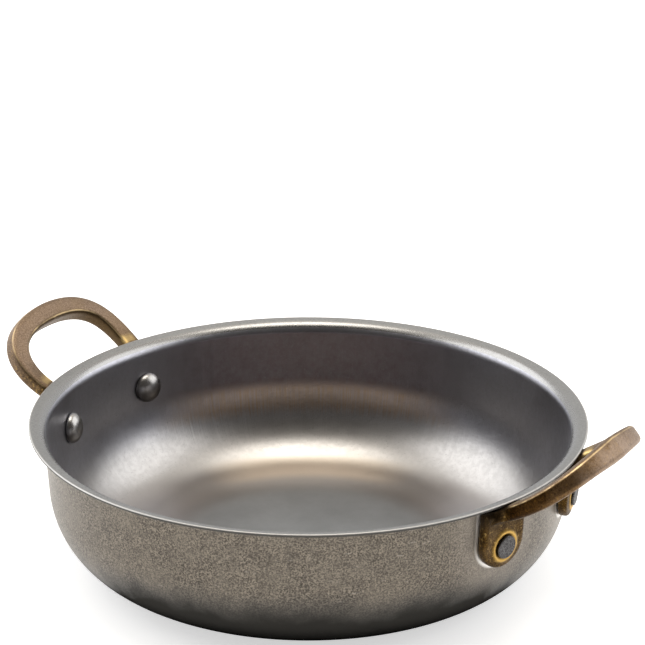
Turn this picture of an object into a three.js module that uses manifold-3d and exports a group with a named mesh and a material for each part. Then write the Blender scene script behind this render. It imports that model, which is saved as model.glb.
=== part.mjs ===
// A round steel serving dish with two riveted brass loop handles.
// Millimetres, +Z up. The origin is under the middle of the base, and the handles lie along X.

import * as THREE from 'three';
import { mergeVertices } from 'three/addons/utils/BufferGeometryUtils.js';
import Module from 'manifold-3d';

const wasm = await Module();
wasm.setup();

// Dish, one pressing of sheet steel
const RIM_DIAMETER = 160;
const DISH_HEIGHT = 42.5;
const SHEET_THICKNESS = 0.9;
const CORNER_REACH = 22.5;
const CORNER_HEIGHT = 24.8;
const WALL_LEAN_DEGREES = 3.3;
const LIP_WIDTH = 4.4;
const LIP_ROLL_RADIUS = 1.2;
const LIP_RISE_DEGREES = 12;

// Handles, brass castings
const RIVET_SPACING = 38.6;
const RIVET_DROP = 14;
const PAD_WIDTH = 15.2;
const PAD_THICKNESS = 2.4;
const PAD_BELOW_RIVET = 6.5;
const PAD_EDGE_RADIUS = 0.9;
const PAD_TOP_GAP = 0.5;
const BEND_ABOVE_TAIL = 3.7;
const LEG_BEND_RADIUS = 4;
const LEG_INSET = 0.3;
const LEG_TAPER_LENGTH = 5.6;
const LEG_WIDTH = 5.9;
const LEG_THICKNESS = 4.4;
const LOOP_SLOPE_DEGREES = 28;
const LOOP_REACH = 23.8;
const LOOP_SHOULDER = 12;
const LOOP_TIP_PULL = 22.8;
const LOOP_CURL = 4.1;
const TIP_WIDTH = 6.3;
const TIP_THICKNESS = 6.7;
const BAR_EDGE_RADIUS = 1.4;
const SWELL_POWER = 1.5;

// Rivets, solid steel
const SHANK_DIAMETER = 5;
const HEAD_DIAMETER = 9.2;
const HEAD_HEIGHT = 2.8;
const TAIL_DIAMETER = 6.6;
const TAIL_HEIGHT = 0.8;
const TAIL_EDGE_RADIUS = 0.4;

// Gap between pieces that touch, spare depth of a cut, stock on a pad's back that is cut to fit the wall,
// and the most of a bar's smaller side that one round edge may take
const FIT_CLEARANCE = 0.3;
const CUT_MARGIN = 1;
const SEAT_STOCK = 1;
const EDGE_SHARE = 0.45;

// Facets
const DISH_SIDES = 72;
const CORNER_STEPS = 10;
const LIP_STEPS = 5;
const SECTION_STEPS = 3;
const PAD_END_STEPS = 7;
const PAD_EDGE_STEPS = 2;
const LEG_STEPS = 2;
const BEND_STEPS = 6;
const LOOP_STEPS = 14;
const RIVET_SIDES = 20;
const DOME_STEPS = 5;
const TAIL_EDGE_STEPS = 3;
const WELD_DISTANCE = 1e-4;

const WALL_LEAN = THREE.MathUtils.degToRad(WALL_LEAN_DEGREES);
const LIP_RISE = THREE.MathUtils.degToRad(LIP_RISE_DEGREES);
const LOOP_SLOPE = THREE.MathUtils.degToRad(LOOP_SLOPE_DEGREES);
const QUARTER_TURN = Math.PI / 2;
const UP = new THREE.Vector3(0, 0, 1);
const ACROSS = new THREE.Vector3(0, 1, 0);

const DISH_STEEL = { color: 0x8b8378, roughness: 0.5, metalness: 1 };
const RIVET_STEEL = { color: 0x8e9094, roughness: 0.4, metalness: 1 };
const HANDLE_BRASS = { color: 0x957d64, roughness: 0.45, metalness: 1 };

// Closed solids for joining and cutting

function solidOf(geometry) {
  const bare = geometry.clone();
  bare.deleteAttribute('normal');
  bare.deleteAttribute('uv');
  const merged = mergeVertices(bare, WELD_DISTANCE);
  const corners = merged.index.array;
  const kept = [];
  for (let i = 0; i < corners.length; i += 3) {
    const [a, b, c] = corners.slice(i, i + 3);
    if (a !== b && b !== c && c !== a) {
      kept.push(a, b, c);
    }
  }
  return new wasm.Manifold(new wasm.Mesh({
    numProp: 3,
    vertProperties: new Float32Array(merged.attributes.position.array),
    triVerts: new Uint32Array(kept),
  }));
}

function geometryOf(solid) {
  const mesh = solid.getMesh();
  const geometry = new THREE.BufferGeometry();
  geometry.setAttribute('position', new THREE.BufferAttribute(new Float32Array(mesh.vertProperties), 3));
  geometry.setIndex(new THREE.BufferAttribute(new Uint32Array(mesh.triVerts), 1));
  geometry.computeVertexNormals();
  return geometry;
}

function cut(solid, cutters) {
  return cutters.reduce((left, cutter) => left.subtract(cutter), solid);
}

// A profile of (radius, height) points turned about Z
function turned(profile, sides) {
  return new THREE.LatheGeometry(profile, sides).rotateX(QUARTER_TURN);
}

// A skin over rings of equally many points, closed by a fan at each end
function lofted(rings) {
  const around = rings[0].length;
  const sumOf = (ring) => ring.reduce((sum, point) => sum.add(point), new THREE.Vector3());
  const middleOf = (ring) => sumOf(ring).divideScalar(around);
  const points = [...rings.flat(), middleOf(rings[0]), middleOf(rings[rings.length - 1])];
  const startMiddle = rings.length * around;
  const lastRing = startMiddle - around;
  const faces = [];
  for (let j = 0; j < around; j += 1) {
    const next = (j + 1) % around;
    faces.push(startMiddle, next, j, startMiddle + 1, lastRing + j, lastRing + next);
    for (let ring = 0; ring < lastRing; ring += around) {
      faces.push(ring + j, ring + next, ring + around + next);
      faces.push(ring + j, ring + around + next, ring + around + j);
    }
  }
  return new THREE.BufferGeometry().setFromPoints(points).setIndex(faces);
}

// Dish profile. The outer face runs from the base, round an elliptical corner, up a leaning wall and
// out along the lip. Each station has a point and the heading of the sheet there.

const rimRadius = RIM_DIAMETER / 2;
const rimUnderside = DISH_HEIGHT - SHEET_THICKNESS * Math.cos(LIP_RISE);
const neckRadius = rimRadius - LIP_WIDTH;
const rollReach = LIP_ROLL_RADIUS * (Math.cos(WALL_LEAN) - Math.sin(LIP_RISE));
const rollRise = LIP_ROLL_RADIUS * (Math.cos(LIP_RISE) - Math.sin(WALL_LEAN));
const neckHeight = rimUnderside - rollRise - (LIP_WIDTH - rollReach) * Math.tan(LIP_RISE);
const cornerEnd = -Math.atan((CORNER_HEIGHT / CORNER_REACH) * Math.tan(WALL_LEAN));
const wallFootHeight = CORNER_HEIGHT * (1 + Math.sin(cornerEnd));
const wallFootRadius = neckRadius - (neckHeight - wallFootHeight) * Math.tan(WALL_LEAN);
const baseRadius = wallFootRadius - CORNER_REACH * Math.cos(cornerEnd);

function cornerStation(angle) {
  return {
    point: new THREE.Vector2(
      baseRadius + CORNER_REACH * Math.cos(angle),
      CORNER_HEIGHT * (1 + Math.sin(angle)),
    ),
    heading: Math.atan2(CORNER_HEIGHT * Math.cos(angle), -CORNER_REACH * Math.sin(angle)),
  };
}

function rollStation(heading) {
  const centre = new THREE.Vector2(
    neckRadius + LIP_ROLL_RADIUS * Math.cos(WALL_LEAN),
    neckHeight - LIP_ROLL_RADIUS * Math.sin(WALL_LEAN),
  );
  const arm = new THREE.Vector2(-Math.sin(heading), Math.cos(heading)).multiplyScalar(LIP_ROLL_RADIUS);
  return { point: centre.add(arm), heading };
}

function dishStations() {
  const stations = [{ point: new THREE.Vector2(0, 0), heading: 0 }];
  for (let i = 0; i <= CORNER_STEPS; i += 1) {
    stations.push(cornerStation(THREE.MathUtils.lerp(-QUARTER_TURN, cornerEnd, i / CORNER_STEPS)));
  }
  for (let i = 0; i <= LIP_STEPS; i += 1) {
    stations.push(rollStation(THREE.MathUtils.lerp(QUARTER_TURN - WALL_LEAN, LIP_RISE, i / LIP_STEPS)));
  }
  stations.push({ point: new THREE.Vector2(rimRadius, rimUnderside), heading: LIP_RISE });
  return stations;
}

// The outer face moved into the dish by a distance, or away from it by a negative one
function facePoints(inwards) {
  return dishStations().map(({ point, heading }) => new THREE.Vector2(
    point.x - inwards * Math.sin(heading),
    point.y + inwards * Math.cos(heading),
  ));
}

function dishGeometry(holes) {
  const profile = [...facePoints(0), ...facePoints(SHEET_THICKNESS).reverse()];
  return geometryOf(cut(solidOf(turned(profile, DISH_SIDES)), holes));
}

// The room that the dish takes, with the fit clearance, for cutting what seats on its outside
function dishRoom() {
  const outside = facePoints(-FIT_CLEARANCE);
  const edge = rimRadius + FIT_CLEARANCE;
  const top = DISH_HEIGHT + CUT_MARGIN;
  const lid = [
    new THREE.Vector2(edge, rimUnderside),
    new THREE.Vector2(edge, top),
    new THREE.Vector2(0, top),
  ];
  return solidOf(turned([...outside, ...lid], DISH_SIDES));
}

// Rivet seat: where a rivet's axis meets the wall's outer face, on the +X handle.
// side is 1 for the rivet at +Y and -1 for the one at -Y.

const rivetHeight = DISH_HEIGHT - RIVET_DROP;

function wallAt(height) {
  if (height >= wallFootHeight) {
    return { radius: wallFootRadius + (height - wallFootHeight) * Math.tan(WALL_LEAN), lean: WALL_LEAN };
  }
  const { point, heading } = cornerStation(Math.asin(height / CORNER_HEIGHT - 1));
  return { radius: point.x, lean: QUARTER_TURN - heading };
}

function rivetSeat(side) {
  const { radius, lean } = wallAt(rivetHeight);
  const bearing = side * Math.asin(RIVET_SPACING / 2 / radius);
  const radial = new THREE.Vector3(Math.cos(bearing), Math.sin(bearing), 0);
  return {
    bearing,
    lean,
    point: radial.clone().multiplyScalar(radius).addScaledVector(UP, rivetHeight),
    outwards: radial.clone().multiplyScalar(Math.cos(lean)).addScaledVector(UP, -Math.sin(lean)),
    upwards: radial.clone().multiplyScalar(Math.sin(lean)).addScaledVector(UP, Math.cos(lean)),
  };
}

function onSeat(object, side) {
  const { point, outwards } = rivetSeat(side);
  object.position.copy(point);
  object.quaternion.setFromUnitVectors(UP, outwards);
  return object;
}

// Rivet, along its own Z. Zero is the wall's outer face, with the head below it and the tail above.

const headRadius = HEAD_DIAMETER / 2;
const innerWallRadius = wallAt(rivetHeight).radius - SHEET_THICKNESS;
const wallSagUnderHead = innerWallRadius - Math.sqrt(innerWallRadius ** 2 - headRadius ** 2);
const headSeat = -SHEET_THICKNESS - wallSagUnderHead - FIT_CLEARANCE;
const tailSeat = FIT_CLEARANCE + PAD_THICKNESS + FIT_CLEARANCE;

function rivetGeometry() {
  const shankRadius = SHANK_DIAMETER / 2;
  const tailRadius = TAIL_DIAMETER / 2;
  const tailTop = tailSeat + TAIL_HEIGHT;
  const profile = [];
  for (let i = 0; i <= DOME_STEPS; i += 1) {
    const angle = QUARTER_TURN * (i / DOME_STEPS);
    profile.push(new THREE.Vector2(headRadius * Math.sin(angle), headSeat - HEAD_HEIGHT * Math.cos(angle)));
  }
  profile.push(new THREE.Vector2(shankRadius, headSeat));
  profile.push(new THREE.Vector2(shankRadius, tailSeat));
  profile.push(new THREE.Vector2(tailRadius, tailSeat));
  for (let i = 0; i <= TAIL_EDGE_STEPS; i += 1) {
    const angle = QUARTER_TURN * (i / TAIL_EDGE_STEPS);
    profile.push(new THREE.Vector2(
      tailRadius - TAIL_EDGE_RADIUS * (1 - Math.cos(angle)),
      tailTop - TAIL_EDGE_RADIUS * (1 - Math.sin(angle)),
    ));
  }
  profile.push(new THREE.Vector2(0, tailTop));
  return geometryOf(solidOf(turned(profile, RIVET_SIDES)));
}

// The hole for a rivet's shank through the sheet and the pad, on the handle turned about Z by an angle
function rivetHole(side, turn) {
  const holeRadius = SHANK_DIAMETER / 2 + FIT_CLEARANCE;
  const start = headSeat - CUT_MARGIN;
  const end = tailSeat + CUT_MARGIN;
  const drill = new THREE.CylinderGeometry(holeRadius, holeRadius, end - start, RIVET_SIDES);
  drill.rotateX(QUARTER_TURN).translate(0, 0, (start + end) / 2);
  const placed = onSeat(new THREE.Object3D(), side);
  placed.updateMatrix();
  return solidOf(drill.applyMatrix4(placed.matrix).rotateZ(turn));
}

// Handle pad: a flat tab, round below, that reaches up the wall to the lip. It is drawn with the rivet at 0.
function padSolid(seat) {
  const halfWidth = PAD_WIDTH / 2 - PAD_EDGE_RADIUS;
  const top = (neckHeight - rivetHeight) / Math.cos(seat.lean) - PAD_TOP_GAP - PAD_EDGE_RADIUS;
  const outline = new THREE.Shape();
  outline.absarc(0, PAD_WIDTH / 2 - PAD_BELOW_RIVET, halfWidth, Math.PI, 2 * Math.PI);
  outline.lineTo(halfWidth, top);
  outline.lineTo(-halfWidth, top);
  const pad = new THREE.ExtrudeGeometry(outline, {
    depth: SEAT_STOCK + PAD_THICKNESS - 2 * PAD_EDGE_RADIUS,
    bevelThickness: PAD_EDGE_RADIUS,
    bevelSize: PAD_EDGE_RADIUS,
    bevelSegments: PAD_EDGE_STEPS,
    curveSegments: PAD_END_STEPS,
  });
  pad.translate(0, 0, FIT_CLEARANCE - SEAT_STOCK + PAD_EDGE_RADIUS);
  const across = seat.upwards.clone().cross(seat.outwards);
  const frame = new THREE.Matrix4().makeBasis(across, seat.upwards, seat.outwards);
  return solidOf(pad.applyMatrix4(frame.setPosition(seat.point)));
}

// Handle bar. One half is a run of stations from the rivet, up inside the pad, round the bend under the lip
// and along the sloping loop to the middle of its tip. Its mirror image in Y is the other half.
// A station has its place and the direction of its back, the face towards the wall. The loop curls up
// towards its tip, and its section turns with the curl.

function legStations(seat) {
  const foot = seat.point.clone().addScaledVector(seat.outwards, FIT_CLEARANCE + PAD_THICKNESS / 2);
  const rise = TAIL_DIAMETER / 2 + BEND_ABOVE_TAIL;
  const back = seat.outwards.clone().negate();
  const stations = [];
  for (let i = 0; i <= LEG_STEPS; i += 1) {
    stations.push({ place: foot.clone().addScaledVector(seat.upwards, rise * (i / LEG_STEPS)), back });
  }
  return stations;
}

function bendStations(seat, start, turn) {
  const stations = [];
  for (let i = 1; i <= BEND_STEPS; i += 1) {
    const angle = turn * (i / BEND_STEPS);
    const place = start.clone()
      .addScaledVector(seat.outwards, LEG_BEND_RADIUS * (1 - Math.cos(angle)))
      .addScaledVector(seat.upwards, LEG_BEND_RADIUS * Math.sin(angle));
    const back = seat.outwards.clone().multiplyScalar(-Math.cos(angle))
      .addScaledVector(seat.upwards, Math.sin(angle));
    stations.push({ place, back });
  }
  return stations;
}

function loopStations(root, legHeading, loopAxis) {
  const tip = root.place.clone().addScaledVector(loopAxis, LOOP_REACH).setY(0);
  const curve = new THREE.CubicBezierCurve3(
    root.place,
    root.place.clone().addScaledVector(legHeading, LOOP_SHOULDER),
    tip.clone().addScaledVector(ACROSS, LOOP_TIP_PULL),
    tip,
  );
  const loopBack = loopAxis.clone().cross(ACROSS);
  const stations = [];
  for (let i = 1; i <= LOOP_STEPS; i += 1) {
    const share = i / LOOP_STEPS;
    const place = curve.getPoint(share);
    const reached = place.clone().sub(root.place).dot(loopAxis) / LOOP_REACH;
    place.addScaledVector(loopBack, LOOP_CURL * reached ** 2);
    const curlTurn = Math.atan(2 * LOOP_CURL * reached / LOOP_REACH);
    const curledBack = loopBack.clone().applyAxisAngle(ACROSS, -curlTurn);
    const back = root.back.clone().lerp(curledBack, THREE.MathUtils.smoothstep(share, 0, 1));
    stations.push({ place, back });
  }
  return stations;
}

// The section at each station: just inside the pad at the foot, tapering to the leg's and then swelling
// to the tip's
function sized(stations, legCount) {
  const lengths = [0];
  for (let i = 1; i < stations.length; i += 1) {
    lengths.push(lengths[i - 1] + stations[i].place.distanceTo(stations[i - 1].place));
  }
  const bendStart = lengths[legCount - 1];
  const legTop = bendStart + LEG_TAPER_LENGTH;
  const end = lengths[lengths.length - 1];
  const blend = (foot, leg, tip, taper, growth) => THREE.MathUtils.lerp(
    THREE.MathUtils.lerp(foot, leg, taper),
    tip,
    growth,
  );
  return stations.map((station, i) => {
    const taper = THREE.MathUtils.smoothstep(lengths[i], bendStart, legTop);
    const growth = Math.max(THREE.MathUtils.inverseLerp(legTop, end, lengths[i]), 0) ** SWELL_POWER;
    return {
      ...station,
      width: blend(PAD_WIDTH - 2 * LEG_INSET, LEG_WIDTH, TIP_WIDTH, taper, growth),
      thickness: blend(PAD_THICKNESS - 2 * LEG_INSET, LEG_THICKNESS, TIP_THICKNESS, taper, growth),
      edge: blend(PAD_EDGE_RADIUS, BAR_EDGE_RADIUS, BAR_EDGE_RADIUS, taper, growth),
    };
  });
}

function halfBar(seat) {
  const loopAxis = new THREE.Vector3(Math.cos(LOOP_SLOPE), 0, Math.sin(LOOP_SLOPE));
  const splay = Math.atan(Math.tan(seat.bearing) * Math.cos(LOOP_SLOPE));
  const legHeading = loopAxis.clone().multiplyScalar(Math.cos(splay))
    .addScaledVector(ACROSS, Math.sin(splay));
  const leg = legStations(seat);
  const bend = bendStations(seat, leg[LEG_STEPS].place, seat.upwards.angleTo(legHeading));
  const loop = loopStations(bend[BEND_STEPS - 1], legHeading, loopAxis);
  return sized([...leg, ...bend, ...loop], leg.length);
}

function mirrored(station) {
  const flip = new THREE.Vector3(1, -1, 1);
  return {
    ...station,
    place: station.place.clone().multiply(flip),
    back: station.back.clone().multiply(flip),
  };
}

// A rectangle with round edges, as a ring of points about a station
function sectionRing(station, heading) {
  const back = station.back.clone().projectOnPlane(heading).normalize();
  const aside = back.clone().cross(heading);
  const edge = Math.min(station.edge, EDGE_SHARE * Math.min(station.width, station.thickness));
  const ring = [];
  for (let corner = 0; corner < 4; corner += 1) {
    const middleAngle = QUARTER_TURN * (corner + 0.5);
    const x = Math.sign(Math.cos(middleAngle)) * (station.width / 2 - edge);
    const y = Math.sign(Math.sin(middleAngle)) * (station.thickness / 2 - edge);
    for (let i = 0; i <= SECTION_STEPS; i += 1) {
      const angle = QUARTER_TURN * (corner + i / SECTION_STEPS);
      ring.push(station.place.clone()
        .addScaledVector(aside, x + edge * Math.cos(angle))
        .addScaledVector(back, y + edge * Math.sin(angle)));
    }
  }
  return ring;
}

function barSolid(seat) {
  const half = halfBar(seat);
  const stations = [...half, ...half.slice(0, -1).reverse().map(mirrored)];
  return solidOf(lofted(stations.map((station, i) => {
    const before = stations[Math.max(i - 1, 0)].place;
    const after = stations[Math.min(i + 1, stations.length - 1)].place;
    return sectionRing(station, after.clone().sub(before).normalize());
  })));
}

function handleGeometry(holes) {
  const seats = [rivetSeat(1), rivetSeat(-1)];
  const casting = seats.reduce((joined, seat) => joined.add(padSolid(seat)), barSolid(seats[0]));
  return geometryOf(cut(casting, [dishRoom(), ...holes]));
}

// Assembly

function piece(name, geometry, finish) {
  const mesh = new THREE.Mesh(geometry, new THREE.MeshStandardMaterial(finish));
  mesh.name = name;
  return mesh;
}

const handleTurns = { right: 0, left: Math.PI };

function rivetHoles(turn) {
  return [rivetHole(1, turn), rivetHole(-1, turn)];
}

const dish = new THREE.Group();
dish.add(piece('dish_body', dishGeometry(Object.values(handleTurns).flatMap(rivetHoles)), DISH_STEEL));
for (const [name, turn] of Object.entries(handleTurns)) {
  const handle = new THREE.Group();
  handle.rotation.z = turn;
  handle.add(piece(`${name}_handle`, handleGeometry(rivetHoles(handleTurns.right)), HANDLE_BRASS));
  for (const side of [1, -1]) {
    const end = side * Math.cos(turn) > 0 ? 'back' : 'front';
    handle.add(onSeat(piece(`${name}_handle_${end}_rivet`, rivetGeometry(), RIVET_STEEL), side));
  }
  dish.add(handle);
}

export default dish;
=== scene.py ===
"""A round steel serving dish with two riveted brass loop handles, dressed for rendering."""
import math

import bpy
import numpy as np
from mathutils import Matrix, Vector


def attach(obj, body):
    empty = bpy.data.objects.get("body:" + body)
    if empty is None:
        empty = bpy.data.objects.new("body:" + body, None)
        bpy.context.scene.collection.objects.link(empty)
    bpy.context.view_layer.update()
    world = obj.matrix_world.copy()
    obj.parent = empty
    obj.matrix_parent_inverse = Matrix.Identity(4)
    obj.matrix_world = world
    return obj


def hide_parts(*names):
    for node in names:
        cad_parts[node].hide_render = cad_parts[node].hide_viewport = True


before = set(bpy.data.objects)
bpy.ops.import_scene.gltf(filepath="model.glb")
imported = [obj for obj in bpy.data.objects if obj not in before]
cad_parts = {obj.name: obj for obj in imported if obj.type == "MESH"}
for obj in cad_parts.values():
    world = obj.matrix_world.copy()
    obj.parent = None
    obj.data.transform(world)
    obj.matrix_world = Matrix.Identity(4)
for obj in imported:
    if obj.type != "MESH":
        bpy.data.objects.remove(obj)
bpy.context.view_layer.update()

MM = 0.001

# Dish, in millimetres as in the part, but with a rounder roll into the lip
RIM_RADIUS = 80.0
DISH_HEIGHT = 42.5
SHEET = 0.9
CORNER_REACH = 22.5
CORNER_HEIGHT = 24.8
WALL_LEAN = math.radians(3.3)
LIP_WIDTH = 4.4
LIP_ROLL = 2.8
LIP_RISE = math.radians(12.0)

# Handles, with a bead of brass round each rivet's tail
RIVET_SPACING = 38.6
RIVET_DROP = 14.0
PAD_WIDTH = 15.2
PAD_THICKNESS = 2.4
PAD_BELOW_RIVET = 6.5
PAD_ABOVE_NECK = 0.7
PAD_EDGE = 0.9
COLLAR_RADIUS = 4.15
BEAD_RADIUS = 0.5
COLLAR_SINK = 0.05
BEND_ABOVE_TAIL = 3.7
LEG_BEND = 4.0
LEG_INSET = 0.3
LEG_TAPER = 5.6
LEG_WIDTH = 5.9
LEG_THICKNESS = 4.4
LOOP_SLOPE = math.radians(28.0)
LOOP_REACH = 23.8
LOOP_SHOULDER = 12.0
LOOP_TIP_PULL = 22.8
LOOP_CURL = 4.1
TIP_WIDTH = 6.3
TIP_THICKNESS = 6.7
BAR_EDGE = 1.4
LARGEST_EDGE_SHARE = 0.45
SWELL_POWER = 1.5

# Rivets, with hammer marks on their tails
SHANK_RADIUS = 2.5
HEAD_RADIUS = 4.6
HEAD_HEIGHT = 2.8
HEAD_CHAMFER = 0.15
HEAD_RIM = 0.08
TAIL_RADIUS = 3.3
TAIL_HEIGHT = 0.8
TAIL_EDGE = 0.4
TAIL_CHAMFER = 0.1
TAIL_HOLLOW = 0.03
DENT_DEPTH = 0.06
DENT_ZONE = 0.2
DENT_TURN_ACROSS = 2.1
DENT_TURN_UP = 1.9
DENT_SHIFT = 11.7
CLEARANCE = 0.3

# Spare lengths of the blank pads, and of the cutters that shape the casting
PAD_SINK = 1.0
DRILL_OVER = 3.0
ROOM_OVER = 6.0

# Fineness of the meshes
SIDES = 288
BASE_STEPS = 9
CORNER_STEPS = 26
WALL_STEPS = 12
ROLL_STEPS = 14
FLANGE_STEPS = 3
EDGE_STEPS = 6
LEG_STEPS = 6
BEND_STEPS = 14
LOOP_STEPS = 44
BAR_EDGE_STEPS = 6
PAD_FOOT_STEPS = 24
PAD_SIDE_STEPS = 6
PAD_EDGE_STEPS = 5
COLLAR_SIDES = 48
BEAD_SIDES = 12
ROOM_SIDES = 144
DRILL_SIDES = 32
RIVET_SIDES = 64
DOME_STEPS = 14
TAIL_EDGE_STEPS = 5
TAIL_STEPS = 8
VOXEL = 0.26
SOFT_SHARE = 0.5
BLANK_ROUNDS = 5
CAST_ROUNDS = 4

QUARTER = math.pi / 2
UP = Vector((0, 0, 1))
ACROSS = Vector((0, 1, 0))
LOOP_AXIS = Vector((math.cos(LOOP_SLOPE), 0, math.sin(LOOP_SLOPE)))


def lerp(a, b, t):
    return a + (b - a) * t


def smoothstep(x, lo, hi):
    t = min(max((x - lo) / (hi - lo), 0.0), 1.0)
    return t * t * (3 - 2 * t)


def angles(n):
    return [2 * math.pi * j / n for j in range(n)]


def circle(radius, height, n):
    return [Vector((radius * math.cos(a), radius * math.sin(a), height)) for a in angles(n)]


def tube(rows, n):
    """Faces between rows of n points each."""
    faces = []
    for k in range(rows - 1):
        for j in range(n):
            m = (j + 1) % n
            faces.append((k * n + j, k * n + m, (k + 1) * n + m, (k + 1) * n + j))
    return faces


def loft(rings, ends=None):
    """Points and faces of a closed skin over equal rings, with a fan to a point at each end."""
    n, rows = len(rings[0]), len(rings)
    points = [p for ring in rings for p in ring]
    start, end = len(points), len(points) + 1
    points += ends or [sum(rings[0], Vector()) / n, sum(rings[-1], Vector()) / n]
    faces = tube(rows, n)
    last = (rows - 1) * n
    for j in range(n):
        m = (j + 1) % n
        faces += [(start, m, j), (end, last + j, last + m)]
    return points, faces


def joined(parts):
    """Several lists of points and faces as one."""
    points, faces = [], []
    for part_points, part_faces in parts:
        base = len(points)
        points += part_points
        faces += [tuple(i + base for i in f) for f in part_faces]
    return points, faces


def link(name, data):
    """A new object in the scene."""
    obj = bpy.data.objects.new(name, data)
    bpy.context.scene.collection.objects.link(obj)
    return obj


def make(name, points, faces):
    """A smooth mesh object from points in millimetres."""
    mesh = bpy.data.meshes.new(name)
    mesh.from_pydata([tuple(c * MM for c in p) for p in points], [], faces)
    mesh.validate()
    mesh.shade_smooth()
    return link(name, mesh)


# Dish profile: stations of the outer face, from the base's middle to the rim

RIM_UNDERSIDE = DISH_HEIGHT - SHEET * math.cos(LIP_RISE)
NECK_RADIUS = RIM_RADIUS - LIP_WIDTH
ROLL_REACH = LIP_ROLL * (math.cos(WALL_LEAN) - math.sin(LIP_RISE))
ROLL_UP = LIP_ROLL * (math.cos(LIP_RISE) - math.sin(WALL_LEAN))
NECK_HEIGHT = RIM_UNDERSIDE - ROLL_UP - (LIP_WIDTH - ROLL_REACH) * math.tan(LIP_RISE)
CORNER_END = -math.atan(CORNER_HEIGHT / CORNER_REACH * math.tan(WALL_LEAN))
FOOT_HEIGHT = CORNER_HEIGHT * (1 + math.sin(CORNER_END))
FOOT_RADIUS = NECK_RADIUS - (NECK_HEIGHT - FOOT_HEIGHT) * math.tan(WALL_LEAN)
BASE_RADIUS = FOOT_RADIUS - CORNER_REACH * math.cos(CORNER_END)


def stations():
    """Radius, height and heading along the outer face."""
    out = [(BASE_RADIUS * i / BASE_STEPS, 0.0, 0.0) for i in range(BASE_STEPS)]
    for i in range(CORNER_STEPS + 1):
        a = lerp(-QUARTER, CORNER_END, i / CORNER_STEPS)
        heading = math.atan2(CORNER_HEIGHT * math.cos(a), -CORNER_REACH * math.sin(a))
        out.append((BASE_RADIUS + CORNER_REACH * math.cos(a), CORNER_HEIGHT * (1 + math.sin(a)), heading))
    upright = QUARTER - WALL_LEAN
    for i in range(1, WALL_STEPS):
        t = i / WALL_STEPS
        out.append((lerp(FOOT_RADIUS, NECK_RADIUS, t), lerp(FOOT_HEIGHT, NECK_HEIGHT, t), upright))
    centre = (NECK_RADIUS + LIP_ROLL * math.cos(WALL_LEAN), NECK_HEIGHT - LIP_ROLL * math.sin(WALL_LEAN))
    for i in range(ROLL_STEPS + 1):
        h = lerp(upright, LIP_RISE, i / ROLL_STEPS)
        out.append((centre[0] - LIP_ROLL * math.sin(h), centre[1] + LIP_ROLL * math.cos(h), h))
    start = out[-1]
    edge = SHEET / 2
    end = (RIM_RADIUS - edge * math.cos(LIP_RISE), RIM_UNDERSIDE - edge * math.sin(LIP_RISE))
    for i in range(1, FLANGE_STEPS + 1):
        t = i / FLANGE_STEPS
        out.append((lerp(start[0], end[0], t), lerp(start[1], end[1], t), LIP_RISE))
    return out


STATIONS = stations()


def face(inwards):
    """Radius and height along a face at a depth in the sheet, where a negative depth is outside it."""
    return [(r - inwards * math.sin(h), z + inwards * math.cos(h)) for r, z, h in STATIONS]


def edge_round():
    """Points round the lip's cut edge, from the underside to the top."""
    r, z, h = STATIONS[-1]
    edge = SHEET / 2
    middle = (r - edge * math.sin(h), z + edge * math.cos(h))
    turns = [h - QUARTER + math.pi * i / EDGE_STEPS for i in range(1, EDGE_STEPS)]
    return [(middle[0] + edge * math.cos(a), middle[1] + edge * math.sin(a)) for a in turns]


# Rivet seats, on the handle at +X. side is 1 for the rivet at +Y and -1 for the one at -Y.

RIVET_HEIGHT = DISH_HEIGHT - RIVET_DROP
RIVET_WALL_RADIUS = FOOT_RADIUS + (RIVET_HEIGHT - FOOT_HEIGHT) * math.tan(WALL_LEAN)


class Seat:
    """Where a rivet's axis meets the outer face, and the directions across, up and out of the wall there."""

    def __init__(self, side):
        self.bearing = side * math.asin(RIVET_SPACING / 2 / RIVET_WALL_RADIUS)
        radial = Vector((math.cos(self.bearing), math.sin(self.bearing), 0))
        self.point = radial * RIVET_WALL_RADIUS + UP * RIVET_HEIGHT
        self.out = radial * math.cos(WALL_LEAN) - UP * math.sin(WALL_LEAN)
        self.up = radial * math.sin(WALL_LEAN) + UP * math.cos(WALL_LEAN)
        self.across = self.up.cross(self.out)

    def place(self, u, v, w):
        return self.point + self.across * u + self.up * v + self.out * w

    def ring(self, radius, w, n):
        return [self.place(radius * math.cos(a), radius * math.sin(a), w) for a in angles(n)]


SEATS = {1: Seat(1), -1: Seat(-1)}
TURNS = {"right": 0.0, "left": math.pi}


def turned(p, turn):
    """A point turned about the dish's upright axis."""
    c, s = math.cos(turn), math.sin(turn)
    return Vector((p[0] * c - p[1] * s, p[0] * s + p[1] * c, p[2]))


# Dish body: both faces of the sheet, its round edge, and a hole for each rivet

HOLE_RADIUS = SHANK_RADIUS + CLEARANCE
HOLE_SEARCH = 3 * HOLE_RADIUS


def hole_axes():
    """A point and a direction for each of the four rivets."""
    return [(turned(s.point, turn), turned(s.out, turn)) for turn in TURNS.values() for s in SEATS.values()]


def from_axis(p, axis):
    """The shortest way to a point from an axis."""
    q = p - axis[0]
    return q - axis[1] * q.dot(axis[1])


def vertex(row, column):
    return row * SIDES + column % SIDES


def cell_corners(row, column):
    return [(row, column), (row, column + 1), (row + 1, column + 1), (row + 1, column)]


def open_cells(rows, points, axes):
    """Cells of both faces, as rows and columns, whose middles lie in a rivet's hole."""
    near = [i for i, (r, z) in enumerate(rows) if abs(z - RIVET_HEIGHT) < HOLE_SEARCH]
    cells = set()
    for i in near:
        for j in range(SIDES if i + 1 in near else 0):
            middle = sum((points[vertex(*c)] for c in cell_corners(i, j)), Vector()) / 4
            if any(from_axis(middle, a).length < HOLE_RADIUS and middle.dot(a[1]) > 0 for a in axes):
                cells.add((i, j))
    return cells


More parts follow.
